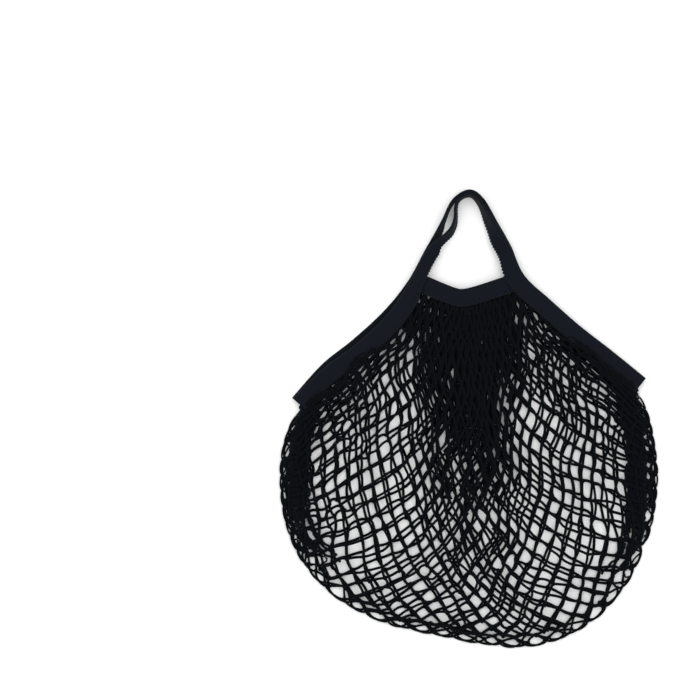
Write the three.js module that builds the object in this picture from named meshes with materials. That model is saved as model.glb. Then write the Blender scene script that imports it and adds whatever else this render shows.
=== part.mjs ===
import * as THREE from 'three';

// A string shopping bag with short handles, empty and lying on its back.
// Millimetres: X runs across the bag, Y from its foot to its handles, Z up from the surface it lies on.

// ---- Driving dimensions ----

const MIDDLE_X = -1.6; // brings the middle of the whole onto the origin

const TAPE_WIDTH = 17.5; // knitted tape, folded double round the mouth and along the handles
const TAPE_THICKNESS = 2.8;
const BAND_THICKNESS = 2.4; // the same tape where it closes the gathered middle of the mouth
const SEAM_WIDTH = 17; // turned-in side seam
const SEAM_THICKNESS = 2;
const SEAM_END_WIDTH = 7; // where the seam is drawn in at its lower end
const SEAM_NARROWS_FROM = 0.5; // share of its length

const BAND_HALF_SPAN = 42; // the band's ends lie under the handles
const BAND_END_Y = 138.5; // middle of the band, at its ends
const BAND_SAG = 16.5;
const BAND_CENTRE_X = -1.5;
const BAND_BACK_Z = 3.1; // undersides of the two bands: the mouth gapes between them
const BAND_FRONT_Z = 11.1;
const BAND_STEPS = 14;

const HALF_COLUMNS = 16; // knots across the netting, from the middle to a side
const FOLD_HALF_COLUMNS = 8; // of which these reach the fold at the foot
const ROWS = 18; // knots down the middle of the netting
const STRING_HALF_HEIGHT = 1.5;
const KNOT_REACH = 2.1; // from a knot's middle into the holes beside it
const GATHER = 0.31; // how much closer the rows lie at the foot than at the mouth
const LAYER_BACK_Z = 1.5; // middle of the back layer, which lies on the surface
const LAYER_RISE = 11; // the front layer's height over the back one
const LAYER_RISE_LENGTH = 48; // distance from the outline over which it rises
const FOLD_RISE = 1.5; // height of the folded foot over the back layer
const HOLE_SHARE = 0.22; // most of a hole that a knot's corner may fill
const MOUTH_CLEARANCE = 0.6; // from the tape's edge to the first knots
const MOUTH_MIDDLE = 0.518; // place of the middle column along the mouth
// Places along the left tape, the band and the right tape that the mouth's line runs through.
const MOUTH_LEFT_TAPE = [0.004, 0.05, 0.1, 0.15, 0.19, 0.22];
const MOUTH_BAND = [-0.62, -0.3, 0, 0.3, 0.62];
const MOUTH_RIGHT_TAPE = [0.775, 0.8, 0.84, 0.89, 0.945, 0.996];
const MOUTH_GATHER = 0.44; // spacing of the columns under the band, against an even spacing
const MOUTH_BLEND = 0.12; // softness of the change from gathered to open
const SIDE_REACH = 0.73; // how far round the outline the side columns end
const SIDE_GATHER = 0.1;
const RIM_FIT = 6; // how close to the outline the rows bend to end on it
const COLUMN_BEND = 3.4; // the middle columns run straight down before they spread
const SIDE_BEND = 0.5;
const BEND_CHANGE = 1.2; // how fast one bend gives way to the other towards the sides
const ROW_CHANGE = 3; // how late the number of rows falls towards the sides
const SETTLE_SHARE = 0.25; // share of a column over which it settles from the mouth's height
const SIDE_RISE = 3.5; // rise at the sides, where the layers meet at the seam

// The outer edge of the handle tape, from the left corner over the arch to the right corner.
// For the back and the front handle: roll onto the tape's edge in degrees, inset from the outline, lift.
const TAPE_ROUTE = [
  { x: -176, y: 22, back: [0, 0, 0], front: [0, 1, 5.7] },
  { x: -146, y: 55.5, back: [0, 0, 0], front: [0, 4, 6.6] },
  { x: -115.5, y: 80, back: [0, 0, 0], front: [0, 5.5, 9] },
  { x: -84, y: 109, back: [0, 0, 0], front: [0, 5, 12.4] },
  { x: -60, y: 139, back: [0, 0, 0], front: [0, 1.5, 14.3] },
  { x: -42, y: 172, back: [6, 0, 0], front: [6, 1.5, 11.6] },
  { x: -27.5, y: 198.5, back: [74, 0, 0], front: [82, 9, 1] },
  { x: -15.5, y: 221, back: [83, 0, 0], front: [83, 3.6, 0] },
  { x: 1, y: 230.2, back: [83, 0, 0], front: [83, 3.2, 0] },
  { x: 15, y: 222, back: [80, 0, 0], front: [80, 3.2, 0] },
  { x: 28, y: 199, back: [52, 0, 0], front: [52, 2.8, 2.2] },
  { x: 43.5, y: 174, back: [5, 0, 0], front: [5, 1, 9.5] },
  { x: 56, y: 144.5, back: [0, 0, 0], front: [0, 0, 14] },
  { x: 82, y: 120, back: [0, 3, 0], front: [0, 0, 12.4] },
  { x: 112, y: 93.8, back: [0, 6, 0], front: [0, 0, 9] },
  { x: 144, y: 69, back: [0, 5, 0], front: [0, 0, 6.6] },
  { x: 178, y: 41.5, back: [0, 1.5, 0], front: [0, 0, 5.7] },
];
const TAPE_STEPS_PER_SPAN = 4;
const TAPE_NUDGE = 0.002; // share of the route that a direction is taken over

// The middle of the right side seam, from the corner of the mouth to its drawn-in lower end.
const SEAM_ROUTE = [
  [157, 40],
  [163, -10],
  [168.5, -45],
  [168.5, -80],
  [165, -112],
  [155, -138],
  [137, -160],
  [112, -173],
];
const SEAM_STEPS_PER_SPAN = 3;
const SEAM_NUDGE = 0.01;
const SEAM_LIFT = 3.35;
const LEFT_SEAM_SCALE = 0.8; // the left seam is the shorter one
const LEFT_SEAM_SHIFT = -9;

// The outline of the netting, from the left corner round the foot to the right corner.
const OUTLINE = [
  [-168, 9],
  [-180, -10],
  [-188, -47],
  [-184, -98],
  [-165, -144],
  [-131, -180],
  [-85, -204],
  [-34, -216],
  [12, -225],
  [54, -228.5],
  [99, -218],
  [140, -190],
  [168, -150],
  [184.5, -104],
  [190, -60],
  [187, -24],
  [180.5, 5],
  [171, 27],
];

// ---- Shared helpers ----

const UP = new THREE.Vector3(0, 0, 1);

// Catmull-Rom value at t, from 0 to 1, through evenly numbered values.
function splineValue(values, t) {
  const place = THREE.MathUtils.clamp(t, 0, 1) * (values.length - 1);
  const index = Math.min(Math.floor(place), values.length - 2);
  const u = place - index;
  const a = values[Math.max(index - 1, 0)];
  const b = values[index];
  const c = values[index + 1];
  const d = values[Math.min(index + 2, values.length - 1)];
  const linear = c - a;
  const square = 2 * a - 5 * b + 4 * c - d;
  const cube = 3 * (b - c) + d - a;
  return b + 0.5 * u * (linear + u * (square + u * cube));
}

function makeGeometry(points, faces) {
  const geometry = new THREE.BufferGeometry();
  const flat = points.flatMap((point) => [point.x, point.y, point.z]);
  geometry.setAttribute('position', new THREE.Float32BufferAttribute(flat, 3));
  geometry.setIndex(faces.flat());
  geometry.computeVertexNormals();
  return geometry;
}

// A flat tape swept through frames of { centre, across, upward, width, thickness }.
// Its section has flat faces and blunt edges.
function ribbonGeometry(frames) {
  const points = [];
  const faces = [];
  for (const frame of frames) {
    const half = frame.width / 2;
    const rise = frame.thickness / 2;
    const blunt = Math.min(rise, half / 2);
    const section = [
      [-half, -rise / 2],
      [-half + blunt, -rise],
      [half - blunt, -rise],
      [half, -rise / 2],
      [half, rise / 2],
      [half - blunt, rise],
      [-half + blunt, rise],
      [-half, rise / 2],
    ];
    for (const [p, q] of section) {
      points.push(frame.centre.clone().addScaledVector(frame.across, p).addScaledVector(frame.upward, q));
    }
  }
  const sides = 8;
  for (let step = 0; step < frames.length - 1; step += 1) {
    for (let side = 0; side < sides; side += 1) {
      const a = step * sides + side;
      const b = step * sides + ((side + 1) % sides);
      faces.push([a, b + sides, b], [a, a + sides, b + sides]);
    }
  }
  const last = (frames.length - 1) * sides;
  for (let side = 1; side < sides - 1; side += 1) {
    faces.push([0, side, side + 1]);
    faces.push([last, last + side + 1, last + side]);
  }
  return makeGeometry(points, faces);
}

// ---- Handle tapes ----

// The tape of one face at t along its route: edges, directions and section.
function tapeFrame(face, t) {
  const routeX = TAPE_ROUTE.map((key) => key.x);
  const routeY = TAPE_ROUTE.map((key) => key.y);
  const [roll, inset, lift] = [0, 1, 2].map((item) => splineValue(TAPE_ROUTE.map((key) => key[face][item]), t));
  const along = new THREE.Vector3(
    splineValue(routeX, t + TAPE_NUDGE) - splineValue(routeX, t - TAPE_NUDGE),
    splineValue(routeY, t + TAPE_NUDGE) - splineValue(routeY, t - TAPE_NUDGE),
    0,
  ).normalize();
  const inwards = new THREE.Vector3(along.y, -along.x, 0);
  const angle = THREE.MathUtils.degToRad(Math.max(roll, 0));
  const cos = Math.cos(angle);
  const sin = Math.sin(angle);
  const across = inwards.clone().multiplyScalar(cos).addScaledVector(UP, -sin);
  const upward = inwards.clone().multiplyScalar(sin).addScaledVector(UP, cos);
  const reach = (TAPE_WIDTH / 2) * cos + (TAPE_THICKNESS / 2) * sin + Math.max(inset, 0);
  const height = (TAPE_WIDTH / 2) * sin + (TAPE_THICKNESS / 2) * cos + Math.max(lift, 0);
  const centre = new THREE.Vector3(splineValue(routeX, t), splineValue(routeY, t), height);
  centre.addScaledVector(inwards, reach);
  return { centre, across, upward, inwards, width: TAPE_WIDTH, thickness: TAPE_THICKNESS };
}

function tapeGeometry(face) {
  const steps = (TAPE_ROUTE.length - 1) * TAPE_STEPS_PER_SPAN;
  const frames = [];
  for (let step = 0; step <= steps; step += 1) {
    frames.push(tapeFrame(face, step / steps));
  }
  return ribbonGeometry(frames);
}

// ---- Bands that close the gathered middle of the mouth ----

// The middle of the band at u, from -1 at its left end to 1 at its right end.
function bandCentre(u) {
  return new THREE.Vector2(BAND_CENTRE_X + BAND_HALF_SPAN * u, BAND_END_Y - BAND_SAG * (1 - u * u));
}

function bandGeometry(underside) {
  const frames = [];
  for (let step = 0; step <= BAND_STEPS; step += 1) {
    const u = (2 * step) / BAND_STEPS - 1;
    const centre = bandCentre(u);
    const along = new THREE.Vector3(BAND_HALF_SPAN, 2 * BAND_SAG * u, 0).normalize();
    frames.push({
      centre: new THREE.Vector3(centre.x, centre.y, underside + BAND_THICKNESS / 2),
      across: new THREE.Vector3(along.y, -along.x, 0),
      upward: UP,
      width: TAPE_WIDTH,
      thickness: BAND_THICKNESS,
    });
  }
  return ribbonGeometry(frames);
}

// ---- Side seams ----

// side is 1 for the right seam and -1 for the left one, its mirror image and a little shorter.
function seamPoint(side, t) {
  const x = splineValue(SEAM_ROUTE.map((point) => point[0]), t);
  const y = splineValue(SEAM_ROUTE.map((point) => point[1]), t);
  return new THREE.Vector3(side * x, side > 0 ? y : y * LEFT_SEAM_SCALE + LEFT_SEAM_SHIFT, 0);
}

function seamGeometry(side) {
  const steps = (SEAM_ROUTE.length - 1) * SEAM_STEPS_PER_SPAN;
  const frames = [];
  for (let index = 0; index <= steps; index += 1) {
    const t = index / steps;
    const along = seamPoint(side, t + SEAM_NUDGE).sub(seamPoint(side, t - SEAM_NUDGE)).normalize();
    const centre = seamPoint(side, t);
    centre.z = SEAM_LIFT + SEAM_THICKNESS / 2;
    const narrowing = THREE.MathUtils.smoothstep(t, SEAM_NARROWS_FROM, 1);
    frames.push({
      centre,
      across: new THREE.Vector3(along.y, -along.x, 0),
      upward: UP,
      width: THREE.MathUtils.lerp(SEAM_WIDTH, SEAM_END_WIDTH, narrowing),
      thickness: SEAM_THICKNESS,
    });
  }
  return ribbonGeometry(frames);
}

// ---- Netting ----

const CURVE_DIVISIONS = 1200; // for even spacing along a curve
const OUTLINE_SAMPLES = 400;

function curveThrough(points) {
  const curve = new THREE.CatmullRomCurve3(points, false, 'centripetal');
  curve.arcLengthDivisions = CURVE_DIVISIONS;
  return curve;
}

const outlineCurve = curveThrough(OUTLINE.map(([x, y]) => new THREE.Vector3(x, y, 0)));
const outlineSamples = outlineCurve.getPoints(OUTLINE_SAMPLES);

function distanceToOutline(x, y) {
  return Math.min(...outlineSamples.map((point) => Math.hypot(point.x - x, point.y - y)));
}

// The line that a layer's first knots lie on, just below the handle tape and the band.
function mouthCurve(face, bandUnderside) {
  const below = KNOT_REACH + MOUTH_CLEARANCE;
  const tapeEdge = (t) => {
    const frame = tapeFrame(face, t);
    return frame.centre.clone().addScaledVector(frame.inwards, TAPE_WIDTH / 2 + below);
  };
  const bandEdge = (u) => {
    const centre = bandCentre(u);
    const along = new THREE.Vector2(BAND_HALF_SPAN, 2 * BAND_SAG * u).normalize();
    const drop = TAPE_WIDTH / 2 + below;
    const height = bandUnderside + BAND_THICKNESS / 2;
    return new THREE.Vector3(centre.x + along.y * drop, centre.y - along.x * drop, height);
  };
  return curveThrough([
    ...MOUTH_LEFT_TAPE.map(tapeEdge),
    ...MOUTH_BAND.map(bandEdge),
    ...MOUTH_RIGHT_TAPE.map(tapeEdge),
  ]);
}

const mouthCurves = {
  front: mouthCurve('front', BAND_FRONT_Z),
  back: mouthCurve('back', BAND_BACK_Z),
};

// How far along the mouth a column starts: close together under the band, wide apart at the slopes.
function mouthFraction(across) {
  const soft = (v) => (v + Math.sqrt(v * v + MOUTH_BLEND * MOUTH_BLEND)) / 2;
  const place = Math.abs(across);
  const bend = soft(place - 0.5) - soft(-0.5);
  const whole = soft(0.5) - soft(-0.5);
  const share = MOUTH_GATHER * place + ((1 - MOUTH_GATHER) * bend) / whole;
  const reach = across < 0 ? MOUTH_MIDDLE : 1 - MOUTH_MIDDLE;
  return MOUTH_MIDDLE + Math.sign(across) * reach * share;
}

// Rows of knots in a column: all of them at the foot, fewer towards the sides.
function rowsInColumn(column) {
  return ROWS - Math.max(0, Math.abs(column) - FOLD_HALF_COLUMNS);
}

// The middle of a knot. Rows run from the front mouth (0) over the fold (ROWS) to the back mouth.
function knotPoint(column, row) {
  const face = row <= ROWS ? 'front' : 'back';
  const across = THREE.MathUtils.clamp(column / HALF_COLUMNS, -1, 1);
  const depth = row <= ROWS ? row : 2 * ROWS - row;
  const rows = rowsInColumn(column);
  const evenRows = ROWS - (ROWS - rowsInColumn(HALF_COLUMNS)) * Math.abs(across) ** ROW_CHANGE;
  const down = Math.min(depth / evenRows + (1 - rows / evenRows) * (depth / rows) ** RIM_FIT, 1);
  const fall = (1 + GATHER) * down - GATHER * down ** 3;
  const start = mouthCurves[face].getPointAt(mouthFraction(across));
  const spread = SIDE_REACH * ((1 + SIDE_GATHER) * across - SIDE_GATHER * across ** 3);
  const end = outlineCurve.getPointAt(0.5 + 0.5 * spread);
  const bend = THREE.MathUtils.lerp(COLUMN_BEND, SIDE_BEND, Math.abs(across) ** BEND_CHANGE);
  const x = THREE.MathUtils.lerp(start.x, end.x, Math.max(fall, 0) ** bend);
  const y = THREE.MathUtils.lerp(start.y, end.y, fall);
  const fold = row === ROWS && Math.abs(column) <= FOLD_HALF_COLUMNS;
  const nearness = Math.min(distanceToOutline(x, y) / LAYER_RISE_LENGTH, 1);
  const rise = Math.max(LAYER_RISE * Math.sqrt(1 - (1 - nearness) ** 2), SIDE_RISE);
  const settled = LAYER_BACK_Z + (face === 'front' ? rise : 0);
  const height = THREE.MathUtils.lerp(start.z, settled, THREE.MathUtils.smoothstep(fall, 0, SETTLE_SHARE));
  return new THREE.Vector3(x, y, fold ? LAYER_BACK_Z + FOLD_RISE : height);
}

// Six corners of a knot: outer, inner, and one in each hole beside it (left, up, right, down).
function knotCorners(column, row) {
  const middle = knotPoint(column, row);
  const rowBefore = Math.max(row - 0.5, 0);
  const rowAfter = Math.min(row + 0.5, 2 * ROWS);
  const up = knotPoint(column, rowBefore).sub(knotPoint(column, rowAfter));
  const left = knotPoint(column - 0.5, row).sub(knotPoint(column + 0.5, row));
  const tall = up.length() / (rowAfter - rowBefore);
  const wide = left.length() / (Math.abs(column) === HALF_COLUMNS ? 0.5 : 1);
  up.normalize();
  const outward = new THREE.Vector3().crossVectors(up, left).normalize();
  left.crossVectors(outward, up).normalize();
  const upReach = Math.min(KNOT_REACH, tall * HOLE_SHARE);
  const sideReach = Math.min(KNOT_REACH, wide * HOLE_SHARE);
  const corner = (direction, reach) => middle.clone().addScaledVector(direction, reach);
  const corners = [
    corner(outward, STRING_HALF_HEIGHT),
    corner(outward, -STRING_HALF_HEIGHT),
    corner(left, sideReach),
    corner(up, upReach),
    corner(left, -sideReach),
    corner(up, -upReach),
  ];
  corners.forEach((point) => point.setZ(Math.max(point.z, 0)));
  return corners;
}

// The whole netting, front and back, as one solid of knots joined by strings.
function nettingGeometry() {
  const points = [];
  const numbers = new Map();
  for (let row = 0; row <= 2 * ROWS; row += 1) {
    for (let column = -HALF_COLUMNS; column <= HALF_COLUMNS; column += 1) {
      const depth = Math.min(row, 2 * ROWS - row);
      if ((column + row) % 2 === 0 && depth <= rowsInColumn(column)) {
        numbers.set(`${column},${row}`, points.length);
        points.push(...knotCorners(column, row));
      }
    }
  }
  const faces = [];
  const [outer, inner, firstSide] = [0, 1, 2];
  const sides = 4;
  // Slots run clockwise: slot k lies between side corners k and k + 1, and points to a neighbour.
  const slots = [[-1, -1], [1, -1], [1, 1], [-1, 1]];
  for (const [name, base] of numbers) {
    const [column, row] = name.split(',').map(Number);
    slots.forEach(([dColumn, dRow], slot) => {
      const first = base + firstSide + slot;
      const second = base + firstSide + ((slot + 1) % sides);
      const other = numbers.get(`${column + dColumn},${row + dRow}`);
      if (other === undefined) {
        faces.push([base + outer, second, first], [base + inner, first, second]);
      } else if (dRow > 0) {
        const opposite = (slot + 2) % sides;
        const otherFirst = other + firstSide + opposite;
        const otherSecond = other + firstSide + ((opposite + 1) % sides);
        const ring = [base + outer, first, base + inner, second];
        const otherRing = [other + outer, otherSecond, other + inner, otherFirst];
        ring.forEach((corner, index) => {
          const next = (index + 1) % sides;
          faces.push([corner, otherRing[next], ring[next]], [corner, otherRing[index], otherRing[next]]);
        });
      }
    });
  }
  return makeGeometry(points, faces);
}

// ---- Materials and assembly ----

const tapeMaterial = new THREE.MeshStandardMaterial({ color: 0x14181e, roughness: 0.92, metalness: 0 });
const seamMaterial = new THREE.MeshStandardMaterial({ color: 0x12161b, roughness: 0.94, metalness: 0 });
const stringMaterial = new THREE.MeshStandardMaterial({ color: 0x0c1012, roughness: 0.88, metalness: 0 });

function makePart(name, geometry, material) {
  const mesh = new THREE.Mesh(geometry, material);
  mesh.name = name;
  return mesh;
}

const bag = new THREE.Group();
bag.add(makePart('netting', nettingGeometry(), stringMaterial));
bag.add(makePart('handle_front', tapeGeometry('front'), tapeMaterial));
bag.add(makePart('handle_back', tapeGeometry('back'), tapeMaterial));
bag.add(makePart('band_front', bandGeometry(BAND_FRONT_Z), tapeMaterial));
bag.add(makePart('band_back', bandGeometry(BAND_BACK_Z), tapeMaterial));
bag.add(makePart('seam_left', seamGeometry(-1), seamMaterial));
bag.add(makePart('seam_right', seamGeometry(1), seamMaterial));

bag.position.x = MIDDLE_X;

export default bag;
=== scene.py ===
"""A string shopping bag with short tape handles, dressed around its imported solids.

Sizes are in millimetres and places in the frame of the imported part; meshes are written in metres.
"""

import logging
import math
from dataclasses import dataclass, field
from enum import Enum

import bpy
import numpy as np
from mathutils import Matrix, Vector


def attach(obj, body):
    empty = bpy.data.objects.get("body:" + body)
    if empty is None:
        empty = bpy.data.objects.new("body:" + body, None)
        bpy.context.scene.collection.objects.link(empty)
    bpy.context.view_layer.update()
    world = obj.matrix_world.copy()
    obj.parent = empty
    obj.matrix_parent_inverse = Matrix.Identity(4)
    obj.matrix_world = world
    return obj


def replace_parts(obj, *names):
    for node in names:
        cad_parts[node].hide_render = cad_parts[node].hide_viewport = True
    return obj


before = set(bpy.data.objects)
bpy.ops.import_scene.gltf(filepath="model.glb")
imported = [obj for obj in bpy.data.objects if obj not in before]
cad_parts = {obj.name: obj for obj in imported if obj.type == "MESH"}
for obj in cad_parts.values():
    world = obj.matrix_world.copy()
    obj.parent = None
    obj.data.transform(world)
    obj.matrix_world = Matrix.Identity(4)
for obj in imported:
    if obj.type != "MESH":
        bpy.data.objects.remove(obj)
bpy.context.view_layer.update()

MM = 0.001
MIDDLE_X = -1.6  # the whole is moved by this, so that its middle is at the origin
SEED = 1907
BODY = "root"

log = logging.getLogger("string_bag")


class Face(Enum):
    """The two layers of the bag: the one that shows and the one it lies on."""

    FRONT = "front"
    BACK = "back"


class Side(Enum):
    """The two sides of the bag, as seen from above."""

    LEFT = -1
    RIGHT = 1


# ---- Curves, noise and meshes ----


def spline(values: np.ndarray, share: np.ndarray) -> np.ndarray:
    """Catmull-Rom values through evenly numbered keys.

    Args:
        values: One number or one point for each key.
        share: Places along the keys, from 0 to 1.

    Returns:
        One value or point for each place.
    """
    keys = np.asarray(values, float)
    place = np.clip(share, 0, 1) * (len(keys) - 1)
    index = np.minimum(place.astype(int), len(keys) - 2)
    u = place - index
    if keys.ndim > 1:
        u = u[:, None]
    a = keys[np.maximum(index - 1, 0)]
    b = keys[index]
    c = keys[index + 1]
    d = keys[np.minimum(index + 2, len(keys) - 1)]
    return b + 0.5 * u * ((c - a) + u * ((2 * a - 5 * b + 4 * c - d) + u * (3 * (b - c) + d - a)))


def unit(vectors: np.ndarray) -> np.ndarray:
    """The vectors, each brought to a length of one."""
    return vectors / np.maximum(np.linalg.norm(vectors, axis=-1, keepdims=True), 1e-9)


def smooth_step(value: np.ndarray, low: float, high: float) -> np.ndarray:
    """0 below low, 1 above high, and a soft change between them."""
    share = np.clip((np.asarray(value, float) - low) / (high - low), 0, 1)
    return share * share * (3 - 2 * share)


def run_length(points: np.ndarray) -> np.ndarray:
    """Distance of each point from the first one, along one line or along each of several lines."""
    steps = np.linalg.norm(np.diff(points, axis=-2), axis=-1)
    return np.concatenate([np.zeros_like(steps[..., :1]), np.cumsum(steps, axis=-1)], axis=-1)


def numbered(column: np.ndarray, row: np.ndarray) -> dict[tuple[int, int], int]:
    """The number of the knot at each column and row."""
    return {key: index for index, key in enumerate(zip(column.tolist(), row.tolist()))}


def joined(number: dict[tuple[int, int], int]) -> np.ndarray:
    """The two knots that each string joins: one, and a neighbour of it in the next row.

    Args:
        number: The number of the knot at each column and row.

    Returns:
        One pair of numbers for each string.
    """
    return np.array(
        [
            (index, number[(c + side, r + 1)])
            for (c, r), index in number.items()
            for side in (-1, 1)
            if (c + side, r + 1) in number
        ]
    )


class EvenCurve:
    """A smooth curve through points, read by its share of the length."""

    SAMPLES = 2400

    def __init__(self, points: np.ndarray) -> None:
        """Measures the curve.

        Args:
            points: The points it runs through, in millimetres.
        """
        self.samples = spline(points, np.linspace(0, 1, self.SAMPLES))
        self.distance = run_length(self.samples)
        self.length = float(self.distance[-1])

    def at(self, share: np.ndarray) -> np.ndarray:
        """Points at shares of the length.

        Args:
            share: From 0 at the start to 1 at the end.

        Returns:
            One point for each share.
        """
        place = np.asarray(share, float) * self.length
        columns = [np.interp(place, self.distance, column) for column in self.samples.T]
        return np.stack(columns, -1)

    def along(self, share: np.ndarray) -> np.ndarray:
        """Unit directions at shares of the length.

        Args:
            share: From 0 at the start to 1 at the end.

        Returns:
            One direction for each share.
        """
        nudge = 0.004
        place = np.asarray(share, float)
        return unit(self.at(np.minimum(place + nudge, 1)) - self.at(np.maximum(place - nudge, 0)))


@dataclass
class Ripple:
    """Smooth seeded noise over the plane, made of a few crossing waves."""

    seed: int
    wavelength: float
    stretch: float = 1.0  # how much longer the waves are along Y
    waves: int = 24

    def __post_init__(self) -> None:
        """Draws the directions and phases of the waves."""
        draw = np.random.default_rng(SEED + self.seed)
        angle = draw.uniform(0, 2 * math.pi, self.waves)
        size = 2 * math.pi / (self.wavelength * draw.uniform(0.7, 1.5, self.waves))
        self.kx = np.cos(angle) * size
        self.ky = np.sin(angle) * size / self.stretch
        self.phase = draw.uniform(0, 2 * math.pi, self.waves)

    def at(self, x: np.ndarray, y: np.ndarray) -> np.ndarray:
        """Noise values, mostly between -1 and 1.

        Args:
            x: Places across, in millimetres.
            y: Places along, in millimetres.

        Returns:
            One value for each place.
        """
        flat_x, flat_y = np.asarray(x, float)[..., None], np.asarray(y, float)[..., None]
        waves = np.sin(flat_x * self.kx + flat_y * self.ky + self.phase)
        return waves.sum(-1) / math.sqrt(self.waves / 2) / 1.6


class Skin:
    """The points, faces and surface coordinates of one piece, gathered tube by tube."""

    def __init__(self) -> None:
        """Starts an empty piece."""
        self.points: list[np.ndarray] = []
        self.faces: list[np.ndarray] = []
        self.coords: list[np.ndarray] = []
        self.count = 0

    def add_rings(self, rings: np.ndarray, around: np.ndarray, along: np.ndarray) -> None:
        """Adds closed tubes, each a run of rings with a flat cap at both ends.

        Args:
            rings: Tubes by rings by points by XYZ, each ring clockwise seen along the tube.
            around: Surface coordinate of each point of a ring, and of the first one again.
            along: Surface coordinate of each ring of each tube.
        """
        tubes, length, sides, _ = rings.shape
        base = self.count + np.arange(tubes)[:, None, None] * length * sides
        ring = base + np.arange(length - 1)[None, :, None] * sides
        side = np.arange(sides)[None, None, :]
        following = (side + 1) % sides
        corners = (side, following, sides + following, sides + side)
        quads = np.stack([ring + corner for corner in corners], -1)
        u0, u1 = (np.broadcast_to(u, quads.shape[:3]) for u in (around[:-1], around[1:]))
        v0, v1 = (np.broadcast_to(v[..., None], quads.shape[:3]) for v in (along[:, :-1], along[:, 1:]))
        coords = np.stack([np.stack(pair, -1) for pair in ((u0, v0), (u1, v0), (u1, v1), (u0, v1))], -2)
        self.points.append(rings.reshape(-1, 3))
        self.faces.append(quads.reshape(-1, 4))
        self.coords.append(coords.reshape(-1, 4, 2))
        self.add_caps(base[:, 0, 0], length, sides, around, along)
        self.count += tubes * length * sides

    def add_caps(
        self, base: np.ndarray, length: int, sides: int, around: np.ndarray, along: np.ndarray
    ) -> None:
        """Closes both ends of tubes with fans of quads.

        Args:
            base: Number of the first point of each tube.
            length: Rings in a tube.
            sides: Points in a ring, an even number.
            around: Surface coordinate of each point of a ring.
            along: Surface coordinate of each ring of each tube.
        """
        for first in range(1, sides - 2, 2):
            corners = np.array([0, first, first + 1, first + 2])
            start = base[:, None] + corners[::-1]
            end = base[:, None] + (length - 1) * sides + corners
            for quads, order, ring in ((start, corners[::-1], 0), (end, corners, -1)):
                u = np.broadcast_to(around[order], quads.shape)
                v = np.broadcast_to(along[:, ring, None], quads.shape)
                self.faces.append(quads)
                self.coords.append(np.stack([u, v], -1))

    def build(self, name: str, material: bpy.types.Material, slot: str) -> bpy.types.Object:
        """Makes the piece as an object that rides on the bag.

        Args:
            name: The piece's name.
            material: Its finish.
            slot: Not used.

        Returns:
            The new object.
        """
        mesh = bpy.data.meshes.new(name)
        points = np.concatenate(self.points) + [MIDDLE_X, 0, 0]
        faces = np.concatenate(self.faces)
        mesh.from_pydata((points * MM).tolist(), [], faces.tolist())
        layer = mesh.uv_layers.new(name="surface")
        layer.data.foreach_set("uv", np.concatenate(self.coords).astype(np.float32).ravel())
        mesh.polygons.foreach_set("use_smooth", np.ones(len(faces), bool))
        mesh.materials.append(material)
        mesh.update()
        piece = bpy.data.objects.new(name, mesh)
        bpy.context.scene.collection.objects.link(piece)
        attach(piece, BODY)
        log.info("%s: %d faces", name, len(faces))
        return piece


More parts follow.
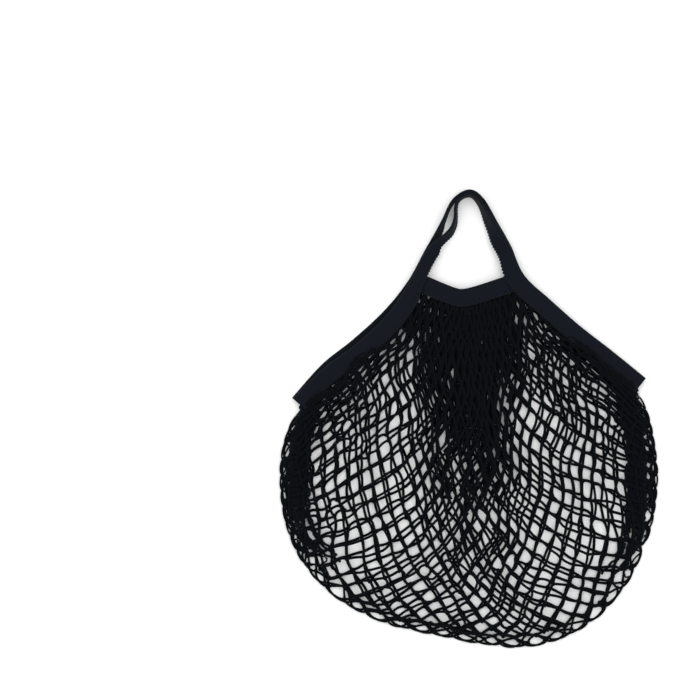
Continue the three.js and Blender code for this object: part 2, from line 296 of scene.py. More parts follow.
@dataclass(frozen=True)
class StringTubes:
    """How runs of string are turned into round tubes."""

    sides: int = 6
    radius: float = 1.34
    knot_radius: float = 2.0
    knot_length: float = 2.4
    end_gap: float = 0.03  # left free at a knot, as a share of the string; below 0 the ends pass it
    full_length: float = 14.6  # strings this long and longer bow the least
    spare_share: tuple[float, float] = (0.11, 0.4)  # least and most of a string that is left to bow
    uneven: tuple[float, float] = (0.92, 1.08)  # how thin and thick single strings come out
    arc_lean: float = 0.12  # how far both ends of an arc lean inwards, as a share of its span
    knot_places: tuple[float, ...] = (-1.0, -0.62, 0.0, 0.62, 1.0)  # of its rings, to half its length
    knot_swell: tuple[float, ...] = (0.45, 0.9, 0.84, 0.9, 0.45)  # of its rings

    def add(self, skin: Skin, paths: np.ndarray, radius: np.ndarray) -> None:
        """Adds one tube for each path.

        Args:
            skin: The piece that the tubes become part of.
            paths: Strings by points by XYZ.
            radius: Radius at each point of each string.
        """
        ahead = unit(np.gradient(paths, axis=1))
        sideways = unit(np.cross(ahead, np.array([0.0, 0.0, 1.0])))
        upward = np.cross(sideways, ahead)
        angle = -np.arange(self.sides) / self.sides * 2 * math.pi
        ring = (
            sideways[:, :, None, :] * np.cos(angle)[None, None, :, None]
            + upward[:, :, None, :] * np.sin(angle)[None, None, :, None]
        )
        rings = paths[:, :, None, :] + ring * radius[:, :, None, None]
        around = np.arange(self.sides + 1) / self.sides
        skin.add_rings(rings, around, run_length(paths))

    def bowed(self, skin: Skin, start: np.ndarray, end: np.ndarray, slack: float = 0.45) -> None:
        """Adds a slack string between each pair of places: the shorter it is, the more it bows.

        Args:
            skin: The piece that they become part of.
            start: Where they start.
            end: Where they end.
            slack: How strongly a short string bows.
        """
        draw = np.random.default_rng(SEED + len(start))
        share = np.linspace(self.end_gap, 1 - self.end_gap, 5)[None, :, None]
        line = start[:, None] + (end - start)[:, None] * share
        length = np.linalg.norm(end - start, axis=1)
        spare = np.clip((self.full_length - length) / self.full_length, *self.spare_share)
        sideways = unit(np.cross(end - start, np.array([0.0, 0.0, 1.0])))
        bow = draw.normal(0, 1, len(start)) * length * spare * slack
        paths = line + sideways[:, None] * (bow[:, None, None] * 4 * share * (1 - share))
        radius = np.full(paths.shape[:2], self.radius) * draw.uniform(*self.uneven, (len(start), 1))
        self.add(skin, paths, radius)

    def arcs(
        self, skin: Skin, start: np.ndarray, end: np.ndarray, bulge: np.ndarray, rings: int = 9
    ) -> None:
        """Adds strings that stand out in round arcs.

        Args:
            skin: The piece that they become part of.
            start: Where they start.
            end: Where they end.
            bulge: How far, and which way, the middle of each stands out.
            rings: Points along each.
        """
        share = np.linspace(0, 1, rings)[None, :, None]
        rest = 1 - share
        lean = (end - start) * self.arc_lean
        one = (start + bulge * 4 / 3 + lean)[:, None]
        two = (end + bulge * 4 / 3 - lean)[:, None]
        paths = start[:, None] * rest**3 + 3 * one * rest**2 * share
        paths = paths + 3 * two * rest * share**2 + end[:, None] * share**3
        self.add(skin, paths, np.full(paths.shape[:2], self.radius))

    def knots(self, skin: Skin, places: np.ndarray, ahead: np.ndarray) -> None:
        """Adds knots, as short wrapped lumps.

        Args:
            skin: The piece that they become part of.
            places: Their middles.
            ahead: Directions that they are drawn along.
        """
        reach = np.array(self.knot_places) * self.knot_length
        paths = places[:, None] + ahead[:, None] * reach[None, :, None]
        swell = np.array(self.knot_swell) * self.knot_radius
        StringTubes(sides=8).add(skin, paths, np.tile(swell, (len(paths), 1)))


# ---- Finishes ----


class YarnRelief:
    """A shader node group for spun and knitted yarn: ribs, leaning stitches or twist, loose fibres, and a
    shade output that paints shade into the hollows of the relief.
    """

    NAME = "yarn_relief"
    INPUTS = (
        ("Rib Pitch", 1.0),
        ("Stitch Pitch", 1.0),
        ("Rib Depth", 1.0),
        ("Lean", 0.0),
        ("Twist", 0.0),
        ("Fibre Scale", 900.0),
        ("Fibre Depth", 0.3),
    )

    def __init__(self) -> None:
        """Builds the group once, for all materials."""
        self.tree = bpy.data.node_groups.new(self.NAME, "ShaderNodeTree")
        face = self.tree.interface
        face.new_socket("Surface", in_out="INPUT", socket_type="NodeSocketVector")
        for name, value in self.INPUTS:
            socket = face.new_socket(name, in_out="INPUT", socket_type="NodeSocketFloat")
            socket.default_value = value
        face.new_socket("Height", in_out="OUTPUT", socket_type="NodeSocketFloat")
        face.new_socket("Shade", in_out="OUTPUT", socket_type="NodeSocketFloat")
        self.inside = self.tree.nodes.new("NodeGroupInput")
        self._wire()

    def _math(self, operation: str, first: object, second: object = None) -> bpy.types.NodeSocket:
        """Adds one sum.

        Args:
            operation: The Math node's operation.
            first: A socket or a number.
            second: A socket, a number or nothing.

        Returns:
            The socket that gives the result.
        """
        node = self.tree.nodes.new("ShaderNodeMath")
        node.operation = operation
        for socket, value in zip(node.inputs, (first, second)):
            if isinstance(value, bpy.types.NodeSocket):
                self.tree.links.new(value, socket)
            elif value is not None:
                socket.default_value = value
        return node.outputs[0]

    def _wire(self) -> None:
        """Joins the group's inputs to its height and its shade. The shade is painted shade that follows the
        height, darker in the hollows and lighter on the crowns, with loose-fibre tone mixed in.
        """
        given = self.inside.outputs
        split = self.tree.nodes.new("ShaderNodeSeparateXYZ")
        self.tree.links.new(given["Surface"], split.inputs[0])
        ribs = self._math("DIVIDE", split.outputs[0], given["Rib Pitch"])
        stitches = self._math("DIVIDE", split.outputs[1], given["Stitch Pitch"])
        zigzag = self._math("PINGPONG", ribs, 0.5)
        leaning = self._math("MULTIPLY", zigzag, given["Lean"])
        turning = self._math("MULTIPLY", ribs, given["Twist"])
        phase = self._math("ADD", self._math("ADD", stitches, leaning), turning)
        wave = self._math("SINE", self._math("MULTIPLY", phase, 2 * math.pi))
        rows = self._math("ADD", self._math("MULTIPLY", wave, 0.5), 0.5)
        rib_wave = self._math("MULTIPLY", zigzag, 2.0)
        rib = self._math("MULTIPLY", self._math("SUBTRACT", rib_wave, 1.0), given["Rib Depth"])
        yarn = self._math("MULTIPLY", rows, self._math("ADD", rib, 1.0))
        place = self.tree.nodes.new("ShaderNodeTexCoord")
        fibre = self.tree.nodes.new("ShaderNodeTexNoise")
        fibre.inputs["Detail"].default_value = 3.0
        self.tree.links.new(place.outputs["Object"], fibre.inputs["Vector"])
        self.tree.links.new(given["Fibre Scale"], fibre.inputs["Scale"])
        fuzz = self._math("MULTIPLY", fibre.outputs["Fac"], given["Fibre Depth"])
        outside = self.tree.nodes.new("NodeGroupOutput")
        self.tree.links.new(self._math("ADD", yarn, fuzz), outside.inputs["Height"])
        # Painted shade: the relief's height darkens the hollows and lightens the crowns; the fibre noise
        # adds random tone.
        painted_relief_shade = self._math("MULTIPLY", yarn, 0.6)
        fibre_tone = self._math("MULTIPLY", fibre.outputs["Fac"], 0.4)
        self.tree.links.new(self._math("ADD", painted_relief_shade, fibre_tone), outside.inputs["Shade"])


@dataclass(frozen=True)
class YarnFinish:
    """Cotton yarn, knitted or twisted: a colour with painted shade for the hollows of its relief, a lighter,
    lit colour for its crowns, and the size of its stitches in millimetres.
    """

    name: str
    # The hollow colour is painted shade for the relief's hollows; the crown colour is the lighter, lit
    # colour of its tops.
    shaded_hollow: tuple[float, float, float]
    crown: tuple[float, float, float]
    roughness: float
    sheen: float
    gloss: float
    rib_pitch: float
    stitch_pitch: float
    rib_depth: float
    lean: float
    twist: float
    bump: float

    def make(self, relief: YarnRelief) -> bpy.types.Material:
        """Makes the material.

        Args:
            relief: The shared group that gives the yarn's height and shade.

        Returns:
            The finished material.
        """
        material = bpy.data.materials.new(self.name)
        material.use_nodes = True
        nodes, links = material.node_tree.nodes, material.node_tree.links
        shader = nodes["Principled BSDF"]
        surface = nodes.new("ShaderNodeUVMap")
        surface.uv_map = "surface"
        yarn = nodes.new("ShaderNodeGroup")
        yarn.node_tree = relief.tree
        links.new(surface.outputs["UV"], yarn.inputs["Surface"])
        values = {
            "Rib Pitch": self.rib_pitch,
            "Stitch Pitch": self.stitch_pitch,
            "Rib Depth": self.rib_depth,
            "Lean": self.lean,
            "Twist": self.twist,
        }
        for name, value in values.items():
            yarn.inputs[name].default_value = value
        # Painted shade: the base colour runs from the hollow colour in the relief's hollows to the lighter
        # crown colour on its tops, with fibre tone mixed in.
        colour = nodes.new("ShaderNodeMix")
        colour.data_type = "RGBA"
        colour.inputs["A"].default_value = (*self.shaded_hollow, 1)
        colour.inputs["B"].default_value = (*self.crown, 1)
        links.new(yarn.outputs["Shade"], colour.inputs["Factor"])
        links.new(colour.outputs["Result"], shader.inputs["Base Color"])
        rough = nodes.new("ShaderNodeMapRange")
        rough.inputs["To Min"].default_value = min(self.roughness + 0.08, 1)
        rough.inputs["To Max"].default_value = self.roughness - 0.05
        links.new(yarn.outputs["Shade"], rough.inputs["Value"])
        links.new(rough.outputs["Result"], shader.inputs["Roughness"])
        bump = nodes.new("ShaderNodeBump")
        bump.inputs["Strength"].default_value = 0.9
        bump.inputs["Distance"].default_value = self.bump * MM
        links.new(yarn.outputs["Height"], bump.inputs["Height"])
        links.new(bump.outputs["Normal"], shader.inputs["Normal"])
        shader.inputs["Sheen Weight"].default_value = self.sheen
        shader.inputs["Sheen Roughness"].default_value = 0.5
        shader.inputs["Specular IOR Level"].default_value = self.gloss
        return material


@dataclass(frozen=True)
class FloorFinish:
    """A plain pale floor with a faint mottle."""

    name: str = "pale_floor"
    dark: tuple[float, float, float] = (0.9, 0.9, 0.9)
    light: tuple[float, float, float] = (0.94, 0.94, 0.94)

    def make(self) -> bpy.types.Material:
        """Makes the material.

        Returns:
            The finished material.
        """
        material = bpy.data.materials.new(self.name)
        material.use_nodes = True
        nodes, links = material.node_tree.nodes, material.node_tree.links
        shader = nodes["Principled BSDF"]
        place = nodes.new("ShaderNodeTexCoord")
        noise = nodes.new("ShaderNodeTexNoise")
        noise.inputs["Scale"].default_value = 6.0
        links.new(place.outputs["Object"], noise.inputs["Vector"])
        colour = nodes.new("ShaderNodeMix")
        colour.data_type = "RGBA"
        colour.inputs["A"].default_value = (*self.dark, 1)
        colour.inputs["B"].default_value = (*self.light, 1)
        links.new(noise.outputs["Fac"], colour.inputs["Factor"])
        links.new(colour.outputs["Result"], shader.inputs["Base Color"])
        shader.inputs["Roughness"].default_value = 0.9
        shader.inputs["Specular IOR Level"].default_value = 0.1
        return material


# In each finish the hollow colour is painted shade and the crown colour the lit tops of the yarn.
TAPE_FINISH = YarnFinish(
    name="knitted_tape",
    shaded_hollow=(0.0014, 0.0027, 0.005),
    crown=(0.0042, 0.007, 0.0124),
    roughness=0.88,
    sheen=0.03,
    gloss=0.12,
    rib_pitch=1.1,
    stitch_pitch=0.9,
    rib_depth=0.5,
    lean=1.0,
    twist=0.0,
    bump=0.22,
)
SEAM_FINISH = YarnFinish(
    name="gathered_seam",
    shaded_hollow=(0.0012, 0.0021, 0.0036),
    crown=(0.0034, 0.0054, 0.009),
    roughness=0.9,
    sheen=0.02,
    gloss=0.08,
    rib_pitch=1.3,
    stitch_pitch=1.4,
    rib_depth=0.5,
    lean=1.0,
    twist=0.0,
    bump=0.3,
)
STRING_FINISH = YarnFinish(
    name="twisted_string",
    shaded_hollow=(0.0006, 0.001, 0.0015),
    crown=(0.0025, 0.004, 0.0058),
    roughness=0.88,
    sheen=0.01,
    gloss=0.06,
    rib_pitch=1.0,
    stitch_pitch=2.6,
    rib_depth=0.0,
    lean=0.0,
    twist=2.0,
    bump=0.25,
)


# ---- Handles and bands ----


@dataclass(frozen=True)
class RouteKey:
    """A place on the outer edge of the handle tape, and how each handle lies there.

    back and front hold the roll onto the tape's edge in degrees, the inset from the outline and the lift.
    """

    x: float
    y: float
    back: tuple[float, float, float]
    front: tuple[float, float, float]


HANDLE_ROUTE = (
    RouteKey(-176, 22, (0, 0, 0), (0, 1, 5.7)),
    RouteKey(-146, 55.5, (0, 0, 0), (0, 4, 6.6)),
    RouteKey(-115.5, 80, (0, 0, 0), (0, 5.5, 9)),
    RouteKey(-84, 109, (0, 0, 0), (0, 5, 12.4)),
    RouteKey(-60, 139, (0, 0, 0), (0, 1.5, 14.3)),
    RouteKey(-42, 172, (6, 0, 0), (6, 1.5, 11.6)),
    RouteKey(-27.5, 198.5, (76, 0, 0), (71, 10.6, 1)),
    RouteKey(-15.5, 221, (83, 0, 0), (83, 3.6, 0)),
    RouteKey(1, 230.2, (83, 0, 0), (83, 3.2, 0)),
    RouteKey(15, 222, (80, 0, 0), (80, 3.2, 0)),
    RouteKey(29, 199.5, (58, 0, 0), (58, 2.2, 2.2)),
    RouteKey(43.5, 174, (5, 0, 0), (5, 1, 9.5)),
    RouteKey(56, 144.5, (0, 0, 0), (0, 0, 14)),
    RouteKey(82, 120, (0, 3, 0), (0, 0, 12.4)),
    RouteKey(112, 93.8, (0, 6, 0), (0, 0, 9)),
    RouteKey(144, 69, (0, 5, 0), (0, 0, 6.6)),
    RouteKey(178, 41.5, (0, 1.5, 0), (0, 0, 5.7)),
)


@dataclass
class Lie:
    """Frames along a flat piece: its middle line and its directions."""

    centre: np.ndarray
    across: np.ndarray  # shorter than one where the piece is drawn narrow
    upward: np.ndarray
    inwards: np.ndarray


@dataclass
class FoldedTape:
    """The knitted tape, folded double: smooth at the fold, with a picot edge on its open side."""

    width: float = 17.5
    thickness: float = 2.8
    picot_pitch: float = 3.2
    picot_depth: float = 1.7
    picot_base: float = 0.55  # share of a picot loop that lies inside the edge
    stitch_inset: float = 3.4
    stitch_pitch: float = 3.0
    stitch_length: float = 2.1
    stitch_bow: tuple[float, ...] = (-0.35, 0.12, 0.2, 0.12, -0.35)  # how high a stitch stands along it
    thread_radius: float = 0.3
    ring_step: float = 0.8
    crown: Ripple = field(default_factory=lambda: Ripple(3, 22))

    def section(self, distance: np.ndarray, picot: np.ndarray) -> np.ndarray:
        """The tape's section at each ring, clockwise from the fold.

        Args:
            distance: Distance of each ring along the tape.
            picot: How strongly the picot edge shows at each ring, from 0 to 1.

        Returns:
            Rings by points by (across, upward).
        """
        half, rise = self.width / 2, self.thickness / 2
        groove = half - self.stitch_inset
        upper = [
            (-half + 0.3, rise * 0.55),
            (-half + 1.0, rise * 0.88),
            (-half + 2.2, rise),
            (-half * 0.5, rise * 0.985),
            (-half * 0.25, rise * 0.96),
            (0.0, rise * 0.96),
            (half * 0.25, rise * 0.97),
            (groove - 1.1, rise * 0.95),
            (groove, rise * 0.7),
            (groove + 1.1, rise * 0.9),
            (half - 0.9, rise * 0.8),
            (half, rise * 0.5),
            (half - 0.5, rise * 0.16),
        ]
        reach = np.array([0, 0, 0, 0, 0, 0, 0, 0, 0, 0.15, 0.6, 1, 0.7])
        loops = np.abs(np.sin(math.pi * distance / self.picot_pitch)) ** 0.7 - self.picot_base
        under = np.abs(np.sin(math.pi * (distance / self.picot_pitch + 0.06))) ** 0.7 - self.picot_base
        puff = 1 + 0.07 * self.crown.at(distance, 0 * distance)
        rings = []
        for sign, tooth in ((1, loops), (-1, under)):
            part = np.tile(np.array(upper)[None], (len(distance), 1, 1))
            part[:, :, 0] += (self.picot_depth * picot * tooth)[:, None] * reach[None]
            part[:, :, 1] *= sign
            part[:, 2:9, 1] *= puff[:, None]
            rings.append(part)
        fold = np.tile(np.array([[-half, 0.0]])[None], (len(distance), 1, 1))
        inside = np.tile(np.array([[half - 2.4, 0.0]])[None], (len(distance), 1, 1))
        return np.concatenate([fold, rings[0], inside, rings[1][:, ::-1]], axis=1)

    def sweep(self, skin: Skin, lie: Lie, picot: np.ndarray) -> None:
        """Adds the tape along its frames.

        Args:
            skin: The piece that it becomes part of.
            lie: Frames at even steps.
            picot: How strongly the picot edge shows at each frame.
        """
        distance = run_length(lie.centre)
        section = self.section(distance, picot)
        rings = (
            lie.centre[:, None]
            + lie.across[:, None] * section[:, :, :1]
            + lie.upward[:, None] * section[:, :, 1:]
        )
        shape = section[0]
        around = run_length(np.concatenate([shape, shape[:1]]))
        skin.add_rings(rings[None], around, distance[None])

    def stitches(self, skin: Skin, lie: Lie) -> None:
        """Adds the row of stitches that holds the fold together.

        Args:
            skin: The piece that they become part of.
            lie: Frames of the tape at even steps.
        """
        every = max(int(round(self.stitch_pitch / self.ring_step)), 1)
        places = np.arange(every, len(lie.centre) - every, every)
        ahead = unit(np.cross(lie.upward[places], lie.across[places]))
        groove = self.width / 2 - self.stitch_inset
        middle = lie.centre[places] + lie.across[places] * groove
        bow = np.array(self.stitch_bow)
        reach = np.linspace(-0.5, 0.5, len(bow)) * self.stitch_length
        for sign in (1, -1):
            top = lie.upward[places] * (self.thickness / 2 * 0.78 * sign)
            paths = (middle + top)[:, None] + ahead[:, None] * reach[None, :, None]
            paths = paths + lie.upward[places][:, None] * (bow * sign)[None, :, None]
            StringTubes().add(skin, paths, np.full(paths.shape[:2], self.thread_radius))


@dataclass
class Handles:
    """The two handles: one folded tape each, from corner to corner over the arch."""

    tape: FoldedTape = field(default_factory=FoldedTape)
    picot_fade: tuple[float, float] = (206.0, 214.0)  # the picot edge turns under above this height
    picot_flattest: float = 0.48  # its loops spread as the tape turns onto its edge, down to this
    back_width: float = 0.92  # of the back tape beside the front one
    pinches: tuple[tuple[float, float, float], ...] = (  # place, reach and depth
        (0.302, 0.075, 0.26),
        (0.35, 0.04, 0.2),
        (0.675, 0.06, 0.1),
    )

    def _narrowing(self, share: np.ndarray) -> np.ndarray:
        """How narrow the tape is drawn, from 1 for its whole width."""
        narrow = np.ones_like(share)
        for place, reach, depth in self.pinches:
            narrow = narrow - depth * (1 - smooth_step(np.abs(share - place), reach / 2, reach))
        return narrow

    def lie_at(self, face: Face, share: np.ndarray) -> Lie:
        """Frames of a handle at places along its route.

        Args:
            face: Which handle.
            share: From 0 at the left corner to 1 at the right one.

        Returns:
            The frames, with the inner edge on their positive side.
        """
        keys = [key.front if face is Face.FRONT else key.back for key in HANDLE_ROUTE]
        roll, inset, lift = (spline(np.array(keys)[:, item], share) for item in range(3))
        route = np.array([[key.x, key.y, 0.0] for key in HANDLE_ROUTE])
        nudge = 0.002
        along = unit(spline(route, share + nudge) - spline(route, share - nudge))
        inwards = np.stack([along[:, 1], -along[:, 0], 0 * roll], -1)
        up = np.array([0.0, 0.0, 1.0])
        angle = np.radians(np.maximum(roll, 0))
        cos, sin = np.cos(angle)[:, None], np.sin(angle)[:, None]
        narrow = self._narrowing(share)[:, None] * (1 if face is Face.FRONT else self.back_width)
        half, rise = self.tape.width / 2, self.tape.thickness / 2
        loops = self.tape.picot_depth * (1 - self.tape.picot_base) / self.picot_flattest
        reach = half * cos * narrow + rise * sin + np.maximum(inset, 0)[:, None]
        height = (half + loops) * sin + rise * cos + np.maximum(lift, 0)[:, None]
        centre = spline(route, share) + inwards * reach + up * height
        return Lie(centre, (inwards * cos - up * sin) * narrow, inwards * sin + up * cos, inwards)

    def even_lie(self, face: Face) -> Lie:
        """Frames of a handle at even steps along its middle.

        Args:
            face: Which handle.

        Returns:
            The frames.
        """
        fine = np.linspace(0, 1, 4000)
        distance = run_length(self.lie_at(face, fine).centre)
        count = int(distance[-1] / self.tape.ring_step)
        return self.lie_at(face, np.interp(np.linspace(0, distance[-1], count), distance, fine))

    def lower_edge(self, face: Face, share: np.ndarray, below: float) -> np.ndarray:
        """Points just outside the tape's inner edge, where the netting starts.

        Args:
            face: Which handle.
            share: Places along the route.
            below: Distance from the edge.

        Returns:
            One point for each place.
        """
        lie = self.lie_at(face, share)
        return lie.centre + lie.inwards * (self.tape.width / 2 + below)

    def build(self, finish: bpy.types.Material) -> None:
        """Makes both handles and their stitching.

        Args:
            finish: The tape's material.
        """
        thread = Skin()
        for face in (Face.BACK, Face.FRONT):
            lie = self.even_lie(face)
            flat = np.linalg.norm(lie.across[:, :2], axis=1)
            picot = 1 - smooth_step(lie.centre[:, 1], *self.picot_fade)
            picot = picot / np.maximum(flat, self.picot_flattest)
            skin = Skin()
            self.tape.sweep(skin, lie, picot)
            piece = skin.build(f"knitted_handle_{face.value}", finish, "tape")
            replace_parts(piece, f"handle_{face.value}")
            self.tape.stitches(thread, lie)
        thread.build("handle_stitches", finish, "tape")


@dataclass
class Bands:
    """The tapes that hold the gathered middle of the mouth, one on each layer."""

    ends_x: tuple[float, float] = (-47.0, 44.0)
    low_x: float = -7.0
    low_y: float = 122.0
    rise: float = 14.6
    corner: float = 0.2  # how round the lowest place is
    back_z: float = 3.1
    front_z: float = 11.1
    thickness: float = 2.4
    pucker_pitch: float = 4.4
    pucker_depth: float = 0.35

    def underside(self, face: Face) -> float:
        """Height of a band's underside."""
        return self.front_z if face is Face.FRONT else self.back_z

    def lie_at(self, face: Face, place: np.ndarray) -> Lie:
        """Frames of a band, from -1 at its left end to 1 at its right end.

        Args:
            face: Which band.
            place: Places along it.

        Returns:
            The frames, with the netting on their positive side.
        """
        left, right = self.ends_x
        x = left + (right - left) * (place + 1) / 2
        span = np.where(x < self.low_x, self.low_x - left, right - self.low_x)
        away = (x - self.low_x) / span
        bowl = np.sqrt(away**2 + self.corner**2)
        whole = math.sqrt(1 + self.corner**2) - self.corner
        y = self.low_y + self.rise * (bowl - self.corner) / whole
        z = 0 * x + self.underside(face) + self.thickness / 2
        slope = self.rise * away / bowl / whole / span
        along = unit(np.stack([0 * x + 1, slope, 0 * x], -1))
        inwards = np.stack([along[:, 1], -along[:, 0], 0 * x], -1)
        upward = np.tile([0.0, 0.0, 1.0], (len(x), 1))
        return Lie(np.stack([x, y, z], -1), inwards, upward, inwards)

    def lower_edge(self, face: Face, place: np.ndarray, below: float) -> np.ndarray:
        """Points just below a band, where the netting starts.

        Args:
            face: Which band.
            place: Places along it.
            below: Distance from its edge.

        Returns:
            One point for each place.
        """
        lie = self.lie_at(face, place)
        return lie.centre + lie.inwards * (FoldedTape.width / 2 + below)

    def build(self, finish: bpy.types.Material) -> None:
        """Makes both bands, puckered along the netting.

        Args:
            finish: The tape's material.
        """
        tape = FoldedTape(thickness=self.thickness, picot_depth=0.5, picot_pitch=2.2)
        steps = int(1.1 * (self.ends_x[1] - self.ends_x[0]) / tape.ring_step)
        place = np.linspace(-1, 1, steps)
        for face in (Face.BACK, Face.FRONT):
            skin = Skin()
            lie = self.lie_at(face, place)
            tape.sweep(skin, lie, np.ones(steps))
            rings = skin.points[0].reshape(steps, -1, 3)
            x = rings[:, :, 0]
            depth = np.einsum("rpk,rk->rp", rings - lie.centre[:, None], lie.inwards) / (tape.width / 2)
            gathered = smooth_step(depth, -0.6, 0.9)
            waves = np.sin(2 * math.pi * x / self.pucker_pitch + 1.3 * np.sin(x / 7.0))
            pucker = self.pucker_depth * gathered * waves
            rings[:, :, 2] += pucker * np.sign(rings[:, :, 2] - lie.centre[0, 2])
            piece = skin.build(f"gathering_band_{face.value}", finish, "tape")
            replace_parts(piece, f"band_{face.value}")


# ---- Netting ----


@dataclass
class NetLayout:
    """Where the knots of one layer lie, seen from above.

    Columns fan out from the gathered mouth to the rounded rim, and rows count down from the mouth.
    """

    face: Face
    handles: Handles
    bands: Bands
    half_columns: int = 36
    rows_by_column: tuple[float, ...] = (29.5, 29.5, 29.0, 27.0, 25.0, 21.5, 14.5, 5.0)
    short_of_rim: float = 0.3
    mesh_side: float = 14.2
    row_gather: float = 0.22
    side_gather: float = 1.2
    straightness: tuple[float, float] = (0.36, 0.74)
    flare: float = 4.3
    rim_crowding: float = -0.1
    mouth_middle: float = 0.518
    mouth_knee: tuple[float, float] = (0.43, 0.155)
    mouth_blend: float = 0.12
    mouth_left: tuple[float, ...] = (0.004, 0.05, 0.1, 0.15, 0.19, 0.215, 0.232)  # places on the handle
    mouth_band: tuple[float, ...] = (-0.8, -0.5, -0.2, 0.05, 0.35, 0.62, 0.85)  # places on the band
    mouth_right: tuple[float, ...] = (0.766, 0.79, 0.825, 0.865, 0.91, 0.955, 0.996)  # on the handle
    mouth_clearance: float = -1.2
    mouth_drop: float = 1.5
    rim_room: float = 10.5  # room left at the rim for its own row of meshes
    room_grows: tuple[float, float] = (90.0, 165.0)  # less at the sides, whole from this far down
    rounds: int = 60
    outline: tuple[tuple[float, float], ...] = (
        (-168, 9),
        (-180, -10),
        (-188, -47),
        (-184, -98),
        (-165, -144),
        (-131, -180),
        (-85, -204),
        (-34, -216),
        (12, -225),
        (54, -228.5),
        (99, -218),
        (140, -190),
        (168, -150),
        (184.5, -104),
        (190, -60),
        (187, -24),
        (180.5, 5),
        (171, 27),
    )

    def __post_init__(self) -> None:
        """Lays the knots out and lets them settle."""
        self.rim = EvenCurve(np.array(self.outline, float))
        self.mouth = self._mouth_line()
        self.column, self.row = self._lattice()
        self.across = self.column / self.half_columns
        self.down = np.clip(self.row / self.rows_at(self.across), 0, 1)
        self.number = numbered(self.column, self.row)
        self.pairs = joined(self.number)
        self.points = self._clear_of_rim(self._settle(self._fan()))

    def _clear_of_rim(self, points: np.ndarray) -> np.ndarray:
        """Moves the knots that lie too near the rim inwards.

        Args:
            points: The knots.

        Returns:
            The knots, all but the first ones at least the rim's room away from it.
        """
        rim = self.rim.samples[::5]
        ahead = unit(np.gradient(rim, axis=0))
        nearest = ((points[:, None] - rim[None]) ** 2).sum(-1).argmin(1)
        inwards = np.stack([-ahead[nearest, 1], ahead[nearest, 0]], -1)
        depth = ((points - rim[nearest]) * inwards).sum(-1)
        room = self.rim_room * (0.45 + 0.55 * smooth_step(-points[:, 1], *self.room_grows))
        short = np.maximum(room - depth, 0) * smooth_step(self.row, 0, 4)
        return points + inwards * short[:, None]

    def _mouth_line(self) -> EvenCurve:
        """The line of the first knots, just under the edge of the handle tape and the band."""
        below = self.mouth_clearance
        left = self.handles.lower_edge(self.face, np.array(self.mouth_left), below)
        middle = self.bands.lower_edge(self.face, np.array(self.mouth_band), below)
        right = self.handles.lower_edge(self.face, np.array(self.mouth_right), below)
        return EvenCurve(np.concatenate([left, middle, right]) - [0, 0, self.mouth_drop])

    def mouth_share(self, across: np.ndarray) -> np.ndarray:
        """Where columns start along the mouth: close together under the band, then farther apart.

        Args:
            across: Columns, from -1 at the left side to 1 at the right side.

        Returns:
            Shares of the mouth's length.
        """
        knee, part = self.mouth_knee
        slow = part / knee
        fast = (1 - part) / (1 - knee)

        def run(place: np.ndarray) -> np.ndarray:
            """Share of the half mouth, before it is brought to a whole."""
            beyond = place - knee
            return slow * place + (fast - slow) * (beyond + np.sqrt(beyond**2 + self.mouth_blend**2)) / 2

        first = run(np.array(0.0))
        share = (run(np.abs(across)) - first) / (run(np.array(1.0)) - first)
        reach = np.where(across < 0, self.mouth_middle, 1 - self.mouth_middle)
        return self.mouth_middle + np.sign(across) * reach * share

    def rows_at(self, across: np.ndarray) -> np.ndarray:
        """Rows of knots between the mouth and the rim, for columns from -1 to 1."""
        return spline(np.array(self.rows_by_column), np.abs(across))

    def _lattice(self) -> tuple[np.ndarray, np.ndarray]:
        """Columns and rows of all knots, as whole numbers."""
        column, row = np.meshgrid(
            np.arange(-self.half_columns, self.half_columns + 1),
            np.arange(0, int(max(self.rows_by_column)) + 1),
            indexing="ij",
        )
        last = self.rows_at(column / self.half_columns) - self.short_of_rim
        kept = ((column + row) % 2 == 0) & (row <= last)
        return column[kept], row[kept]

    def _fan(self) -> np.ndarray:
        """The first layout: columns from the mouth to the rim, rows closer together at the foot."""
        side = np.abs(self.across)
        even = (1 + self.row_gather) * self.down - self.row_gather * self.down**3
        fall = even ** (1 + self.side_gather * smooth_step(side, 0.35, 0.9))
        start = self.mouth.at(self.mouth_share(self.across))[:, :2]
        crowded = self.across * (1 - self.rim_crowding) + self.rim_crowding * self.across**3
        end = self.rim.at(0.5 + 0.5 * crowded)
        straight = np.minimum(self.straightness[0] + self.straightness[1] * side, 1)
        sideways = straight * fall + (1 - straight) * fall**self.flare
        x = start[:, 0] + (end[:, 0] - start[:, 0]) * sideways
        return np.stack([x, start[:, 1] + (end[:, 1] - start[:, 1]) * fall], -1)

    def _settle(self, fan: np.ndarray) -> np.ndarray:
        """Lets the knots settle: strings don't stretch and lines run smoothly.

        Args:
            fan: The first layout.

        Returns:
            The settled knots.
        """
        stretch, squeeze, smoothing, guide = 0.2, 0.025, 0.15, 0.06
        points = fan.copy()
        lines = [self._middles(step) for step in ((1, 1), (1, -1), (2, 0), (0, 2))]
        count = sum(np.bincount(middle, minlength=len(fan)) for middle, _, _ in lines)
        held = self.row == 0
        first, second = self.pairs.T
        for _ in range(self.rounds):
            apart = points[second] - points[first]
            length = np.linalg.norm(apart, axis=1)
            error = (length - self.mesh_side) / length
            pull = apart * (error * np.where(error > 0, stretch, squeeze))[:, None]
            push = np.zeros_like(points)
            np.add.at(push, first, pull)
            np.add.at(push, second, -pull)
            points = points + push
            pull_in = np.zeros_like(points)
            for middle, before, after in lines:
                pull_in[middle] += (points[before] + points[after]) / 2 - points[middle]
            points = points + smoothing * pull_in / np.maximum(count, 1)[:, None]
            points = points + (fan - points) * guide
            points[held] = fan[held]
        return points

